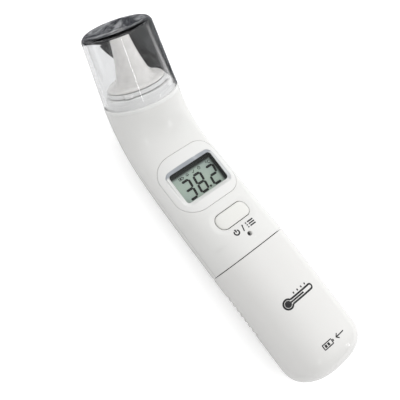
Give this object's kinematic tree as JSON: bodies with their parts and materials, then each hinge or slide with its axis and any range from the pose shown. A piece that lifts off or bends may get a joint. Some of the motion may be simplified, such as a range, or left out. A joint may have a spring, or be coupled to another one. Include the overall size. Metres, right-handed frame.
{
  "type": "infrared ear thermometer",
  "caption": "Slim bent hand-held ear thermometer with a clear push-on cap over its probe cone, a display panel, an oblong button and a sliding battery cover.",
  "frame": {"origin": "under the middle of the bounding box, on the surface that the thermometer lies on", "axes": "+Y along the handle towards the probe, +Z out of the display, +X across the body"},
  "size_m": [0.0342, 0.161, 0.0523],
  "materials": {
    "white_gloss": "glossy white",
    "white_satin": "satin white",
    "clear_plastic": "clear",
    "milky_film": "milky clear",
    "grey_plastic": "satin grey",
    "black_plastic": "satin black",
    "rubber": "matt",
    "lcd": "grey-green",
    "board": "solder mask",
    "steel": "bright",
    "gold": "gold plated",
    "aluminium": "machined",
    "cell": "printed sleeve",
    "flex": "polyimide"
  },
  "bodies": {
    "casing": {"front_shell": "white_gloss", "rear_shell": "white_gloss", "display_panel": "white_gloss", "display_window": "clear_plastic", "lcd_glass": "lcd", "lcd_frame": "grey_plastic", "contact_strip_upper": "rubber", "contact_strip_lower": "rubber", "circuit_board": "board", "processor_chip": "black_plastic", "memory_chip": "black_plastic", "buzzer": "black_plastic", "mode_switch": "steel", "start_switch": "steel", "battery_tray": "grey_plastic", "cell_left": "cell", "cell_right": "cell", "contact_spring_left": "steel", "contact_spring_right": "steel", "contact_bridge": "steel", "contact_negative": "steel", "contact_positive": "steel", "tray_screw_left": "steel", "tray_screw_right": "steel", "board_screw_left": "steel", "board_screw_right": "steel", "collar": "white_gloss", "probe_nose": "white_satin", "probe_cover": "milky_film", "cover_ring": "white_satin", "waveguide": "gold", "sensor_window": "clear_plastic", "sensor_can": "steel", "sensor_block": "aluminium", "sensor_lead": "flex"},
    "cap": {"clear_cap": "clear_plastic"},
    "cover": {"battery_cover": "white_gloss"},
    "front_button": {"mode_button": "white_gloss"},
    "back_button": {"start_button": "white_gloss"},
    "latch": {"cover_latch": "grey_plastic"}
  },
  "joints": [
    {"name": "cap_pull", "type": "slide", "parent": "casing", "child": "cap", "axis": [0, 0.7513, 0.66], "range_m": [0, 0.045]},
    {"name": "battery_cover_slide", "type": "slide", "parent": "casing", "child": "cover", "axis": [0, -1, 0], "range_m": [0, 0.055]},
    {"name": "mode_button_press", "type": "slide", "parent": "casing", "child": "front_button", "axis": [0, 0, -1], "range_m": [0, 0.0008], "stiffness_N_per_m": 1500},
    {"name": "start_button_press", "type": "slide", "parent": "casing", "child": "back_button", "axis": [0, 0, 1], "range_m": [0, 0.0007], "stiffness_N_per_m": 1500},
    {"name": "cover_latch_press", "type": "slide", "parent": "casing", "child": "latch", "axis": [0, 0, -1], "range_m": [0, 0.001], "stiffness_N_per_m": 1500}
  ]
}
